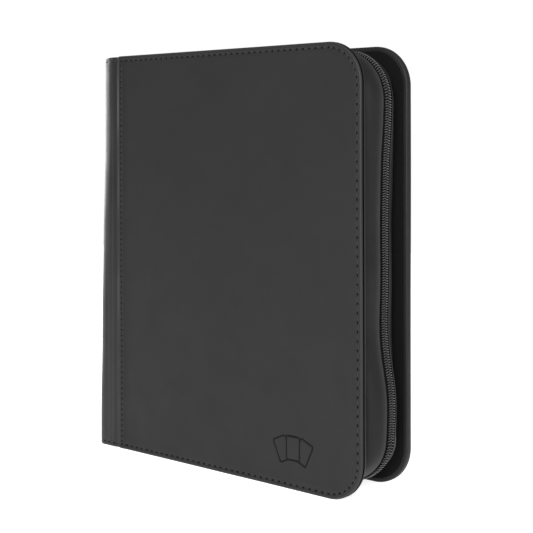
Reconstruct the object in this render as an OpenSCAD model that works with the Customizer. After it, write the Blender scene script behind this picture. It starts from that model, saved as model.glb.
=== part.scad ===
// Zip-round trading card binder with a rounded spine and side-loading pocket leaves.
// It stands on the foot edges of its covers. The origin is the centre of the footprint,
// +Z runs up the spine, +X points from the spine to the fore edge, and the front cover
// faces -Y. Front-half pieces are drawn at y < 0 and mirrored for the back half.

/* [Overall size] */
// Height of the covers
height = 241; // [236:1:260]
// Width from the spine to the fore edge
width = 202; // [198:1:212]
// Thickness of the closed binder
thickness = 45; // [44:1:54]
// Radius of the covers' corners at the fore edge
corner_r = 22; // [16:1:26]
// Radius of the spine's two long edges
spine_r = 8; // [7:0.5:9]

/* [Covers] */
// Thickness of the outer leather
leather_t = 0.8; // [0.6:0.1:1]
// Thickness of the boards inside the covers and the spine
board_t = 2; // [1.8:0.1:2.2]
// Thickness of the lining
lining_t = 0.7; // [0.5:0.1:0.8]
// Width of the leather hem turned onto the inner face
hem_w = 2.5; // [2:0.5:4]
// Distance from the spine's outer face to the seam of the cover panel
seam_in = 20.5; // [17:0.5:24]

/* [Gusset and zip] */
// Corner radius of the zip line
zip_r = 25; // [22:1:28]
// Inset of the zip line from the covers' fore edge
fore_inset = 3; // [2:0.5:5]
// Inset of the zip line from the covers' head and foot edges
end_inset = 6; // [6:0.5:8]
// How far the gusset rises outward from the lining to the zip
gusset_rise = 8; // [6:0.5:9]
// Thickness of the gusset leather
gusset_t = 0.9; // [0.7:0.1:1]
// Half the gap between the two gusset edges, which the zip closes
zip_half = 4.4; // [4:0.1:5]
// Height of the zip coil above its tape
coil_h = 1.9; // [1.6:0.1:2]

/* [Leaves] */
// Number of pocket leaves
leaf_count = 20; // [10:1:20]
// Width of one card pocket
pocket_w = 70; // [68:1:70]
// Height of one card pocket
pocket_h = 97; // [92:1:97]
// Width of the welds between pockets
weld_w = 3; // [2:0.5:3]
// Width of the leaf's bare margin at the binding
margin_w = 14; // [12:1:14]
// Thickness of the leaf's base sheet
sheet_t = 0.4; // [0.3:0.1:0.4]
// Thickness of the pocket film on each side
film_t = 0.3; // [0.2:0.1:0.3]

/* [Hidden] */
$fn = 64;

// Cover and spine
cover_t = leather_t + board_t + lining_t;
half_t = thickness / 2;
inner_y = -half_t + cover_t;
spine_x = -width / 2;
fore_x = width / 2;
hinge_x = spine_x + spine_r;
hinge_y = -half_t + spine_r;
seam_x = spine_x + seam_in;
fold_gap = 2;

// Zip line: centres of its corner arcs, and the faces that build up from the tape
zip_x = fore_x - fore_inset - zip_r;
zip_top = height - end_inset - zip_r;
zip_foot = end_inset + zip_r;
foot_r = zip_r - gusset_rise;
flange_w = 4;
gusset_start = hinge_x + 0.5;
tape_t = 0.5;
tape_r = zip_r - gusset_t;
tape_edge = 0.8;
tape_lap = 0.28;
tape_start = gusset_start + 2.5;
coil_gap = 0.15;
coil_w = 3.3;
stop_l = 2.5;
coil_start = tape_start + 7;

// Slider and pull
slide_gap = 0.3;
slider_x = coil_start + 12;
slider_l = 11;
slider_w = 10.4;
slider_t = 1;
lip_w = 1.5;
lip_h = 0.9;
plate_z = zip_top + tape_r + coil_h + slide_gap;
eye_r = 1.2;
pin_r = 0.6;
pin_fit = 0.05;
pin_z = plate_z + slider_t + 0.25 + eye_r;
ear_t = 1;
ear_y = 2.3;
tab_t = 1;
tab_w = 6.4;
tab_l = 20;
grip_w = 8;
grip_l = 15;
grip_t = 2.2;

// Leaves
leaf_w = margin_w + 2 * (pocket_w + weld_w);
leaf_h = 2 * pocket_h + 3 * weld_w;
leaf_z = (height - leaf_h) / 2;
leaf_x = hinge_x - 1.5;
stack_half = -inner_y - 2.05;
leaf_pitch = 2 * stack_half / (leaf_count - 1);
bind_gap = 0.3;
bind_r = 1;
bind_over = 3;

function leaf_y(i) = -stack_half + (i - 1) * leaf_pitch;
function leaf_name(i) = str("leaf_", i < 10 ? "0" : "", i);

// ---- shared shapes -----------------------------------------------------------------

// Mirrors a front-half piece into its back-half twin
module back_half() mirror([0, 1, 0]) children();

// Extrudes an outline drawn in X and Z between two depths in Y
module slab(y0, y1) translate([0, y1, 0]) rotate([90, 0, 0]) linear_extrude(y1 - y0) children();

// Outline of a cover from x0 to the fore edge, drawn in by inset
module cover_outline(x0, inset) {
    r = corner_r - inset;
    x1 = fore_x - inset - r;
    translate([x0, inset]) square([x1 - x0, height - 2 * inset]);
    translate([x1, inset + r]) square([r, height - 2 * (inset + r)]);
    for (z = [inset + r, height - inset - r]) translate([x1, z]) circle(r);
}

// Sweeps a section round the head, fore edge and foot. The section is drawn as
// (distance out from the corner centre, y).
module zip_sweep(x0) {
    translate([zip_x, 0, zip_top]) rotate([0, -90, 0]) linear_extrude(zip_x - x0) children();
    translate([x0, 0, zip_foot]) rotate([0, 90, 0]) linear_extrude(zip_x - x0) children();
    translate([zip_x, 0, zip_foot]) linear_extrude(zip_top - zip_foot) children();
    zip_corner(zip_top, 0) children();
    zip_corner(zip_foot, 270) children();
}

module zip_corner(z, start) {
    translate([zip_x, 0, z]) rotate([90, 0, 0])
        rotate_extrude(angle = 90, start = start) mirror([0, 1]) children();
}

// Quarter turns of leather at the spine's long edge, from one angle to another
module edge_arc(from, to) {
    translate([hinge_x, hinge_y, 0]) rotate_extrude(angle = to - from, start = from)
        translate([spine_r - leather_t, 0]) square([leather_t, height]);
}

// ---- covers ------------------------------------------------------------------------

module board_shape() {
    slab(-half_t + leather_t, -half_t + leather_t + board_t) cover_outline(hinge_x, leather_t);
}

module lining_shape() slab(inner_y - lining_t, inner_y) cover_outline(hinge_x, hem_w);

module cover_leather() {
    difference() {
        slab(-half_t, inner_y) cover_outline(seam_x, 0);
        board_shape();
        lining_shape();
    }
}

module hinge_leather() {
    edge_arc(225 + fold_gap, 270);
    difference() {
        translate([hinge_x, -half_t, 0]) cube([seam_x - hinge_x, cover_t, height]);
        board_shape();
        lining_shape();
    }
}

module front_leather() color("#3d3d3e") cover_leather();
module front_hinge_leather() color("#3f3f40") hinge_leather();
module front_board() color("#8c8375") board_shape();
module front_lining() color("#1c1c1d") lining_shape();
module back_leather() color("#3d3d3e") back_half() cover_leather();
module back_hinge_leather() color("#3f3f40") back_half() hinge_leather();
module back_board() color("#8c8375") back_half() board_shape();
module back_lining() color("#1c1c1d") back_half() lining_shape();

// ---- spine -------------------------------------------------------------------------

module spine_board_shape() {
    translate([spine_x + leather_t, hinge_y, leather_t])
        cube([board_t, -2 * hinge_y, height - 2 * leather_t]);
}

module spine_lining_shape() {
    translate([spine_x + leather_t + board_t, hinge_y, hem_w])
        cube([lining_t, -2 * hinge_y, height - 2 * hem_w]);
}

module spine_leather() {
    color("#3f3f40") {
        difference() {
            translate([spine_x, hinge_y, 0]) cube([cover_t, -2 * hinge_y, height]);
            spine_board_shape();
            spine_lining_shape();
        }
        edge_arc(180, 225);
        back_half() edge_arc(180, 225);
    }
}

module spine_board() color("#8c8375") spine_board_shape();
module spine_lining() color("#1c1c1d") spine_lining_shape();

module page_binding() {
    x0 = spine_x + cover_t;
    x1 = leaf_x - sheet_t / 2 - bind_gap;
    y1 = stack_half + sheet_t;
    color("#202022") translate([0, 0, leaf_z - bind_over]) linear_extrude(leaf_h + 2 * bind_over) {
        translate([x0, -y1]) square([x1 - x0 - bind_r, 2 * y1]);
        translate([x0, -y1 + bind_r]) square([x1 - x0, 2 * (y1 - bind_r)]);
        for (y = [-y1 + bind_r, y1 - bind_r]) translate([x1 - bind_r, y]) circle(bind_r);
    }
}

// ---- gusset and zip ----------------------------------------------------------------

module gusset_shape() {
    zip_sweep(gusset_start) polygon([
        [foot_r - flange_w, inner_y],
        [foot_r, inner_y],
        [zip_r, -zip_half],
        [zip_r - gusset_t, -zip_half],
        [foot_r - gusset_t, inner_y + gusset_t],
        [foot_r - flange_w, inner_y + gusset_t]
    ]);
}

// The tape lies flat beside the coil and follows the gusset's inner face under its edge
module tape_shape() {
    lap_r = tape_r - tape_lap * gusset_rise;
    lap_y = -zip_half + tape_lap * (inner_y + gusset_t + zip_half);
    zip_sweep(tape_start) polygon([
        [tape_r, -tape_edge],
        [tape_r, -zip_half],
        [lap_r, lap_y],
        [lap_r - tape_t, lap_y],
        [tape_r - tape_t, -zip_half],
        [tape_r - tape_t, -tape_edge]
    ]);
}

module coil_shape() {
    zip_sweep(coil_start) translate([tape_r, -coil_w]) square([coil_h, coil_w - coil_gap]);
}

module stops_shape() {
    for (z = [zip_top + tape_r, zip_foot - tape_r - coil_h])
        translate([coil_start - stop_l, -coil_w, z]) cube([stop_l, coil_w - 2 * coil_gap, coil_h]);
}

module front_gusset() color("#3a3a3b") gusset_shape();
module front_zip_tape() color("#2a2a2b") tape_shape();
module front_zip_coil() color("#4a4a4b") coil_shape();
module front_zip_stops() color("#5a5a5c") stops_shape();
module back_gusset() color("#3a3a3b") back_half() gusset_shape();
module back_zip_tape() color("#2a2a2b") back_half() tape_shape();
module back_zip_coil() color("#4a4a4b") back_half() coil_shape();
module back_zip_stops() color("#5a5a5c") back_half() stops_shape();

// ---- slider and pull ---------------------------------------------------------------

module along_y(y0, y1, r) translate([0, y1, 0]) rotate([90, 0, 0]) cylinder(h = y1 - y0, r = r);

// Plate over both coils with a lip on the back tape's side. It stays open towards the
// front, so the front coil can swing away.
module slider_body() {
    color("#2f2f31") translate([slider_x, 0, plate_z]) {
        translate([-slider_l / 2, -slider_w / 2, 0]) cube([slider_l, slider_w, slider_t]);
        translate([-slider_l / 2, slider_w / 2 - lip_w, -lip_h]) cube([slider_l, lip_w, lip_h]);
        for (y = [-ear_y - ear_t, ear_y]) difference() {
            translate([-eye_r, y, slider_t]) cube([2 * eye_r, ear_t, pin_z - plate_z]);
            translate([0, 0, pin_z - plate_z]) along_y(y - 1, y + ear_t + 1, pin_r);
        }
    }
}

module slider_pin() {
    color("#6a6a6c") translate([slider_x, 0, pin_z]) along_y(-ear_y - ear_t, ear_y + ear_t, pin_r);
}

module tab_shape() {
    neck_w = 2 * (ear_y - slide_gap);
    difference() {
        union() {
            along_y(-neck_w / 2, neck_w / 2, eye_r);
            translate([0, -neck_w / 2, -tab_t / 2]) cube([tab_l, neck_w, tab_t]);
            translate([2 * eye_r, -tab_w / 2, -tab_t / 2]) cube([tab_l - 2 * eye_r, tab_w, tab_t]);
        }
        along_y(-neck_w, neck_w, pin_r + pin_fit);
    }
}

module pull_tab() color("#38383a") translate([slider_x, 0, pin_z]) tab_shape();

// Moulded sleeve over the outer end of the tab
module pull_grip() {
    x1 = tab_l + 1;
    color("#232324") translate([slider_x, 0, pin_z]) difference() {
        translate([0, 0, -grip_t / 2]) linear_extrude(grip_t) {
            translate([x1 - grip_l, -grip_w / 2]) square([grip_l - grip_w / 4, grip_w]);
            translate([x1 - grip_w / 4, -grip_w / 4]) square([grip_w / 4, grip_w / 2]);
            for (y = [-1, 1]) translate([x1 - grip_w / 4, y * grip_w / 4]) circle(grip_w / 4);
        }
        tab_shape();
    }
}

// ---- leaves ------------------------------------------------------------------------

// A sheet with two by two pockets welded to each side, hinged on its round inner edge
module leaf(i) {
    color("#2b2b2e") translate([leaf_x, leaf_y(i), leaf_z]) {
        cylinder(h = leaf_h, d = sheet_t);
        translate([0, -sheet_t / 2, 0]) cube([leaf_w, sheet_t, leaf_h]);
        for (col = [0, 1], row = [0, 1])
            translate([
                margin_w + col * (pocket_w + weld_w),
                -sheet_t / 2 - film_t,
                weld_w + row * (pocket_h + weld_w)
            ]) cube([pocket_w, sheet_t + 2 * film_t, pocket_h]);
    }
}

spine_leather();
spine_board();
spine_lining();
page_binding();
front_leather();
front_hinge_leather();
front_board();
front_lining();
front_gusset();
front_zip_tape();
front_zip_coil();
front_zip_stops();
back_leather();
back_hinge_leather();
back_board();
back_lining();
back_gusset();
back_zip_tape();
back_zip_coil();
back_zip_stops();
slider_body();
slider_pin();
pull_tab();
pull_grip();
for (i = [1 : leaf_count]) leaf(i);
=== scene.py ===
"""Visual model of a zip-round trading card binder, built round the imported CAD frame.

Shapes are worked out in millimetres and turned into metres when a mesh is made. Every front
piece is drawn for the front half, at y < 0, and its back twin is the mirror image.
"""

import itertools
import math

import bmesh
import bpy
import numpy as np
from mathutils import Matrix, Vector


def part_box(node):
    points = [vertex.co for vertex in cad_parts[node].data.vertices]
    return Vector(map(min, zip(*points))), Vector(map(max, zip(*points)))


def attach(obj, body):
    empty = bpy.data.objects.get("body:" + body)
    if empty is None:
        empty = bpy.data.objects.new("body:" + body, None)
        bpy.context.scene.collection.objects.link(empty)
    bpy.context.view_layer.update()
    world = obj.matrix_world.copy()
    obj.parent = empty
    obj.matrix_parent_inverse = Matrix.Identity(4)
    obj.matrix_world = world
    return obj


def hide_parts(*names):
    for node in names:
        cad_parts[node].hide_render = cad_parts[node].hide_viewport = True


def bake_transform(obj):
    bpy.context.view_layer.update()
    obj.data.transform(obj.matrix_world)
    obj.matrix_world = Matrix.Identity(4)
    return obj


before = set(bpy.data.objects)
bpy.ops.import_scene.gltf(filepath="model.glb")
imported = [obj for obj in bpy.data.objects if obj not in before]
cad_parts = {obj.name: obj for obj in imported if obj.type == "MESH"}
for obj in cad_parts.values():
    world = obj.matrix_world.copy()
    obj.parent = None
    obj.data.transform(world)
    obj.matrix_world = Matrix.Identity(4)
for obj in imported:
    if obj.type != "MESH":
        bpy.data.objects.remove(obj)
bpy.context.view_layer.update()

# ---- sizes, in millimetres ----

MM = 0.001
FRONT, BACK = -1, 1
SIDES = {FRONT: "front", BACK: "back"}


def box(node):
    """Lowest and highest corner of a CAD node's box."""
    return np.array(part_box(node)) / MM


LOW, HIGH = 0, 1
X, Y, Z = 0, 1, 2
HEIGHT = box("front_leather")[HIGH, Z]
HALF_T = -box("front_leather")[LOW, Y]
FORE_X = box("front_leather")[HIGH, X]
SPINE_X = box("spine_leather")[LOW, X]
SEAM_LAP = 1.4        # how far the cover's folded edge laps on to the spine leather
SEAM_X = box("front_leather")[LOW, X] - SEAM_LAP
COVER_T = HALF_T + box("front_lining")[HIGH, Y]
HINGE_X = box("front_lining")[LOW, X]
CORNER_R = 22.0
SPINE_R = 8.0

ZIP_R = 25.0
ZIP_IN = 6.0          # the zip's line sits in from the head and foot
ZIP_FORE_IN = 3.0     # and in from the fore edge
ZIP_X = FORE_X - ZIP_FORE_IN - ZIP_R
ZIP_TOP = HEIGHT - ZIP_IN - ZIP_R
ZIP_FOOT = ZIP_IN + ZIP_R
GUSSET_X = box("front_gusset")[LOW, X]
COIL_X = box("front_zip_coil")[LOW, X]
TAPE_R = 24.1

STITCH = 4.3          # stitch pitch along the head and foot
FORE_STITCH = 4.88    # along the fore edge
SEAM_STITCH = 3.29    # along the seam beside the spine
STITCH_IN = 2.9       # how far the stitch row sits in from the covers' edge
PIT_DEPTH = 0.75
PIT_W = 0.54
FINE = 6              # mesh columns to a stitch
THREAD_R = 0.24
SHARP = 42.0          # edges with a turn of more degrees are shaded sharp

# ---- curves and points ----


def smooth(t):
    """Rises from 0 to 1 with soft ends, while t does."""
    t = np.clip(t, 0.0, 1.0)
    return t * t * (3.0 - 2.0 * t)


def hump(x, centre, width, power=2.0):
    """A smooth hump of height 1; a higher power makes it squarer."""
    return np.exp(-np.abs((np.asarray(x, float) - centre) / width) ** power)


def pits(phase):
    """1 at the middle of each stitch hole, for a phase counted in stitches."""
    off = (phase - np.floor(phase) - 0.5) * STITCH
    return hump(off, 0.0, PIT_W)


def subdivide(stations, parts):
    """Evenly spaced values between neighbouring stations."""
    out = [np.linspace(a, b, parts, endpoint=False) for a, b in zip(stations[:-1], stations[1:])]
    return np.concatenate(out + [stations[-1:]])


def xyz(x, y, z):
    """Points or directions from their coordinates, any of which may be one number."""
    return np.stack(np.broadcast_arrays(x, y, z), -1)


# ---- meshes ----


class Surface:
    """Collects the vertices and faces of one piece, drawn for the front half."""

    def __init__(self):
        self.points, self.faces, self.slots, self.count = [], [], [], 0
        self.marks = {}

    def add(self, points, **marks):
        """Adds points, with a value of each named mark for every one, and returns their indices."""
        points = np.asarray(points, float)
        shape = points.shape[:-1]
        index = np.arange(int(np.prod(shape))).reshape(shape) + self.count
        self.points.append(points.reshape(-1, 3))
        for name, values in marks.items():
            at = self.marks.setdefault(name, [])
            at.append((self.count, np.broadcast_to(values, shape).reshape(-1)))
        self.count += index.size
        return index

    def face(self, corners):
        self.faces.append([int(c) for c in corners])
        self.slots.append(0)

    def quads(self, index, slot=0, close_u=False, close_v=False):
        """Fills a grid of indices with quads."""
        if close_u:
            index = np.concatenate([index, index[:1]], 0)
        if close_v:
            index = np.concatenate([index, index[:, :1]], 1)
        a, b = index[:-1, :-1], index[1:, :-1]
        c, d = index[1:, 1:], index[:-1, 1:]
        cells = np.stack([a, b, c, d], -1).reshape(-1, 4)
        self.faces.extend(cells.tolist())
        self.slots.extend([slot] * len(cells))

    def loft(self, rings):
        """Joins a row of closed rings with quads and caps both ends."""
        self.quads(rings, close_v=True)
        self.face(rings[0][::-1])
        self.face(rings[-1])

    def build(self, name, materials, side=FRONT, sharp=SHARP, closed=True):
        """Makes the object; side BACK mirrors it."""
        co = np.concatenate(self.points) * np.array([MM, MM * -side, MM])
        faces = self.faces if side == FRONT else [f[::-1] for f in self.faces]
        mesh = bpy.data.meshes.new(name)
        mesh.from_pydata(co.tolist(), [], faces)
        for material in materials:
            mesh.materials.append(material)
        mesh.polygons.foreach_set("material_index", self.slots)
        mesh.polygons.foreach_set("use_smooth", [True] * len(faces))
        for mark, parts in self.marks.items():
            values = np.zeros(self.count, np.float32)
            for start, part in parts:
                values[start:start + len(part)] = part
            mesh.attributes.new(mark, "FLOAT", "POINT").data.foreach_set("value", values)
        if closed:
            outwards(mesh)
        mesh.set_sharp_from_angle(angle=math.radians(sharp))
        mesh.validate()
        return put(name, mesh)


def put(name, data):
    """Makes an object of the data and puts it in the scene."""
    made = bpy.data.objects.new(name, data)
    bpy.context.scene.collection.objects.link(made)
    return made


def outwards(mesh):
    """Turns the faces of every closed shell outwards."""
    work = bmesh.new()
    work.from_mesh(mesh)
    bmesh.ops.recalc_face_normals(work, faces=work.faces)
    work.to_mesh(mesh)
    work.free()


def tube(surface, path, side_dir, up_dir, radius, sides=6, **marks):
    """Sweeps a round thread along a path, with its cross directions for all or each point."""
    side_dir, up_dir = (np.atleast_2d(way)[:, None, :] for way in (side_dir, up_dir))
    turn = (np.arange(sides) * 2.0 * np.pi / sides)[:, None]
    rings = path[:, None, :] + radius * (np.cos(turn) * side_dir + np.sin(turn) * up_dir)
    marks = {name: values[:, None] for name, values in marks.items()}
    surface.loft(surface.add(rings, **marks))


# ---- what carries each piece ----


def on_body(s, name, materials, body, node):
    """A piece on one body, in place of a CAD node."""
    piece = s.build(name, materials)
    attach(piece, body)
    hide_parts(node)


def on_cover(s, side, name, material, nodes, slot, sharp=SHARP):
    """A piece on the cover of one side, in place of any of that side's CAD nodes."""
    piece = s.build(f"{SIDES[side]}_{name}", [material], side, sharp)
    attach(piece, f"{SIDES[side]}_cover")
    if nodes:
        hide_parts(*(f"{SIDES[side]}_{node}" for node in nodes))


def on_hinge(s, side, name, material, nodes):
    """A piece that bends across the rounded edge between the spine and a cover."""
    piece = s.build(f"{SIDES[side]}_{name}", [material], side)
    if nodes:
        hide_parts(*nodes)
    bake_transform(piece)


# ---- materials ----


class Finish:
    """A procedural material round one Principled shader."""

    def __init__(self, name, **sockets):
        self.material = bpy.data.materials.new(name)
        self.material.use_nodes = True
        self.nodes = self.material.node_tree.nodes
        self.links = self.material.node_tree.links
        self.shader = self.nodes["Principled BSDF"]
        for socket, value in sockets.items():
            self.shader.inputs[socket.replace("_", " ")].default_value = value
        self.where = self.nodes.new("ShaderNodeTexCoord").outputs["Object"]

    def node(self, kind, inputs, **settings):
        made = self.nodes.new("ShaderNode" + kind)
        for key, value in settings.items():
            setattr(made, key, value)
        for key, value in inputs.items():
            if isinstance(value, bpy.types.NodeSocket):
                self.links.new(value, made.inputs[key])
            else:
                made.inputs[key].default_value = value
        return made

    def texture(self, kind, inputs, output="Fac", **settings):
        return self.node("Tex" + kind, {"Vector": self.where, **inputs}, **settings).outputs[output]

    def noise(self, scale, detail=3.0, rough=0.55):
        return self.texture("Noise", {"Scale": scale, "Detail": detail, "Roughness": rough})

    def cells(self, scale):
        return self.texture("Voronoi", {"Scale": scale}, "Distance")

    def wave(self, scale, direction, distortion):
        return self.texture("Wave", {"Scale": scale, "Distortion": distortion, "Detail": 1.0},
                            bands_direction=direction)

    def math(self, operation, a, b):
        return self.node("Math", {0: a, 1: b}, operation=operation).outputs[0]

    def spread(self, value, low, high, start=0.0, end=1.0):
        """Maps a value between start and end onto low to high."""
        made = self.node("MapRange", {"Value": value, "From Min": start, "From Max": end,
                                      "To Min": low, "To Max": high})
        return made.outputs["Result"]

    def mix(self, factor, a, b):
        return self.node("Mix", {0: factor, 6: a, 7: b}, data_type="RGBA").outputs[2]

    def mark(self, name):
        return self.node("Attribute", {}, attribute_name=name).outputs["Fac"]

    def colour(self, value):
        self.links.new(value, self.shader.inputs["Base Color"])

    def dull(self, factor):
        """Takes the gloss off by a factor, as in holes and gaps that light can't reach."""
        tint = self.mix(factor, grey(1.0, 1.0), grey(0.0))
        self.links.new(tint, self.shader.inputs["Specular Tint"])

    def rough(self, low, high, scale, detail=3.0, **ends):
        """Lets the roughness vary softly between two values."""
        value = self.spread(self.noise(scale, detail), low, high, **ends)
        self.links.new(value, self.shader.inputs["Roughness"])

    def bump(self, height, distance, strength):
        """Adds a bump under the ones already there; distance is in metres."""
        made = self.node("Bump", {"Height": height, "Distance": distance, "Strength": strength})
        old = self.shader.inputs["Normal"]
        if old.is_linked:
            self.links.new(old.links[0].from_socket, made.inputs["Normal"])
        self.links.new(made.outputs["Normal"], old)


def grey(value, tint=1.02):
    return (value, value, value * tint, 1.0)


def leather(name, base, roughness=0.55, cloud=0.12, grain=1.0, gloss=0.22):
    """Smooth imitation leather: fine pebble grain, pores and soft clouding, with a painted highlight
    along marked edges and painted shade, dark and dull, in marked holes and gaps.
    """
    f = Finish(name, Roughness=roughness, Specular_IOR_Level=gloss)
    clouds = f.math("ADD", f.spread(f.noise(26.0, 4.0), -0.5, 0.5),
                    f.spread(f.noise(120.0, 3.0), -0.22, 0.22))
    cloud_mix = f.spread(clouds, 0.0, 1.0, -0.4, 0.4)
    tone = f.mix(cloud_mix, grey(base * (1 - cloud)), grey(base * (1 + cloud)))
    # Painted highlight: marked edges are lightened towards a paler grey.
    with_highlight = f.mix(f.math("MULTIPLY", f.mark("rim"), 0.6), tone, grey(base * 2.2))
    # Painted shade: marked holes, gaps and strips turn nearly black and lose their gloss.
    painted_shade_level = f.spread(f.mark("pit"), 0.0, 1.0, 0.05, 0.6)
    f.colour(f.mix(painted_shade_level, with_highlight, grey(base * 0.12)))
    f.dull(painted_shade_level)
    f.rough(roughness - 0.06, roughness + 0.07, 55.0, 4.0, start=0.3, end=0.7)
    pebble = f.math("ADD", f.cells(1500.0), f.math("MULTIPLY", f.cells(3100.0), 0.4))
    f.bump(pebble, 0.00003 * grain, 0.55)
    f.bump(f.noise(420.0, 5.0, 0.6), 0.00006 * grain, 0.5)
    f.bump(f.noise(40.0, 3.0), 0.0006, 0.22)
    return f.material


def cloth(name, base, thread=0.42):
    """Plain woven cloth with crossing threads of the given pitch in millimetres."""
    f = Finish(name, Roughness=0.88, Specular_IOR_Level=0.1, Sheen_Weight=0.03, Sheen_Roughness=0.4)
    scale = math.pi / (thread * MM) / 10.0
    warp, weft = f.wave(scale, "X", 0.25), f.wave(scale, "Z", 0.25)
    weave = f.math("MULTIPLY", warp, weft)
    fuzz = f.noise(900.0, 4.0)
    tone = f.math("ADD", f.math("MULTIPLY", weave, 0.6), f.math("MULTIPLY", fuzz, 0.5))
    f.colour(f.mix(tone, grey(base * 0.6), grey(base * 1.7)))
    f.bump(weave, 0.00008, 0.5)
    f.bump(f.noise(60.0, 3.0), 0.0005, 0.15)
    return f.material


def thread_finish(name, base):
    """Twisted polyester sewing thread."""
    f = Finish(name, Roughness=0.6, Specular_IOR_Level=0.35)
    twist = f.wave(900.0, "DIAGONAL", 0.4)
    f.colour(f.mix(twist, grey(base * 0.65), grey(base * 1.25)))
    f.bump(twist, 0.00005, 0.6)
    return f.material


COVER = leather("cover_leather", 0.0122)
SPINE = leather("spine_leather", 0.013, roughness=0.46, cloud=0.16, gloss=0.26)
GUSSET = leather("gusset_leather", 0.0165, roughness=0.5, cloud=0.24, grain=0.8, gloss=0.18)
LINING = cloth("lining_cloth", 0.0036)
THREAD = thread_finish("black_thread", 0.022)

TAPE = cloth("zip_tape_weave", 0.005, thread=0.35)


def nylon(name, base):
    """Semi-gloss nylon filament, darkened and dulled as painted shade where marked."""
    f = Finish(name, Roughness=0.38, Specular_IOR_Level=0.4)
    tone = f.mix(f.noise(300.0), grey(base * 0.8), grey(base * 1.25))
    # Painted shade: marked parts turn nearly black and lose their gloss.
    f.colour(f.mix(f.mark("pit"), tone, grey(base * 0.05)))
    f.dull(f.spread(f.mark("pit"), 0.0, 0.9))
    f.rough(0.3, 0.46, 700.0)
    f.bump(f.noise(2500.0), 0.00003, 0.4)
    return f.material


def enamel(name, base, roughness=0.32):
    """Enamelled zinc, with faint orange peel and rubbed patches."""
    f = Finish(name, Roughness=roughness, Specular_IOR_Level=0.5, Metallic=0.35)
    rubbed = f.spread(f.noise(220.0, 5.0), 0.0, 1.0, 0.55, 0.75)
    f.colour(f.mix(rubbed, grey(base), grey(base * 2.2)))
    f.rough(roughness - 0.08, roughness + 0.1, 150.0)
    f.bump(f.noise(900.0), 0.00004, 0.3)
    return f.material


def film(name, base):
    """Clear pocket film seen against the black sheet behind it."""
    f = Finish(name, Roughness=0.3, Specular_IOR_Level=0.35, Coat_Weight=0.15, Coat_Roughness=0.2)
    f.colour(f.mix(f.noise(35.0, 3.0), grey(base * 0.85, 1.06), grey(base * 1.2, 1.06)))
    f.rough(0.24, 0.4, 70.0, 4.0)
    f.bump(f.noise(32.0, 2.0), 0.0012, 0.25)
    return f.material


def sheet_finish(name, base):
    """Matte black plastic sheet with a fine embossed grain."""
    f = Finish(name, Roughness=0.5, Specular_IOR_Level=0.4)
    f.colour(f.mix(f.noise(90.0), grey(base * 0.85), grey(base * 1.2)))
    f.rough(0.42, 0.6, 200.0)
    f.bump(f.cells(1400.0), 0.00003, 0.5)
    return f.material


# Lit and shaded copies of one nylon: the front half is darker, as painted shade from the gusset's
# fold, and the back half lighter.
COIL = {FRONT: nylon("shaded_front_nylon", 0.055), BACK: nylon("lit_back_nylon", 0.095)}
STOP = enamel("stop_enamel", 0.05, 0.4)
METAL = enamel("slider_enamel", 0.02)
STEEL = enamel("pin_steel", 0.3, 0.3)
GRIP = sheet_finish("grip_rubber", 0.012)
BINDING = sheet_finish("binding_plastic", 0.012)
SHEET = sheet_finish("leaf_sheet", 0.03)
FILM = film("pocket_film", 0.045)

# ---- cover panels ----

RING = 8.0            # width of the finely meshed border
COARSE = 3            # fine columns to one coarse cell
CORNER_CELLS = 8      # coarse cells from a corner's end to its diagonal
FOOT_CELLS = 71
FORE_CELLS = 92
GRID = (FOOT_CELLS + CORNER_CELLS + 1, FORE_CELLS + 2 * CORNER_CELLS + 1)  # its points
GRID_X = SEAM_X + 1.5 * STITCH  # where the coarse middle starts
CORNER_X = FORE_X - CORNER_R
EDGE_R = 1.0
HEM_W = 2.6
PIT_REACH = 0.5       # half width of a stitch hole across its row
SEAM_PIT_DEPTH = 0.8 * PIT_DEPTH
SEAM_ROW = 2.3        # the stitches beside the seam, by distance from it
SEAM_STEPS = np.array([0.0, 0.05, 0.18, 0.42, 0.8, 1.3, 1.7, 2.0, SEAM_ROW, 2.6, 2.9, 3.4, 4.0, 5.0])
FORE_CREASE = {FRONT: 1.1, BACK: 0.0}  # depth of the crease round a cover's edge


def border_profile(crease):
    """Rows of a cover's border: distance in from the outline, and depth below the face."""
    rows = [(d, 0.0) for d in (8.0, 7.2, 6.4, 5.6, 5.0, 4.5, 4.1, 3.8, 3.5, 3.3, 3.1, STITCH_IN,
                               2.7, 2.5, 2.25, 2.0, 1.7, 1.4, EDGE_R)]
    rows += [(EDGE_R * (1 - math.sin(a)), EDGE_R * (1 - math.cos(a)))
             for a in np.radians([18, 36, 54, 72, 90])]
    rows += [(0.08 * crease, 1.05), (crease, 1.12), (1.12 * crease, 1.5), (crease, 1.9),
             (0.2 * crease, 2.05), (0.05 * crease, 2.15), (0.0, 2.35), (0.0, 2.6)]
    rows += [(0.9 * (1 - math.cos(a)), 2.6 + 0.9 * math.sin(a)) for a in np.radians([22, 45, 67, 90])]
    rows += [(1.4, COVER_T), (1.9, COVER_T), (HEM_W - 0.25, COVER_T)]
    rows += [(HEM_W - 0.06, COVER_T - 0.08), (HEM_W, COVER_T - 0.25), (HEM_W, COVER_T - 0.5)]
    return np.array(rows)


def line(x, z, nx, nz):
    """Points of a straight stretch, and the direction outwards at each."""
    at = np.stack(np.broadcast_arrays(x, z), 1)
    return at, np.tile([nx, nz], (len(at), 1))


def arc(z, turn):
    """Points round a fore-edge corner, and the direction outwards at each."""
    out = np.stack([np.cos(turn), np.sin(turn)], 1)
    return np.array([CORNER_X, z]) + CORNER_R * out, out


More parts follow.
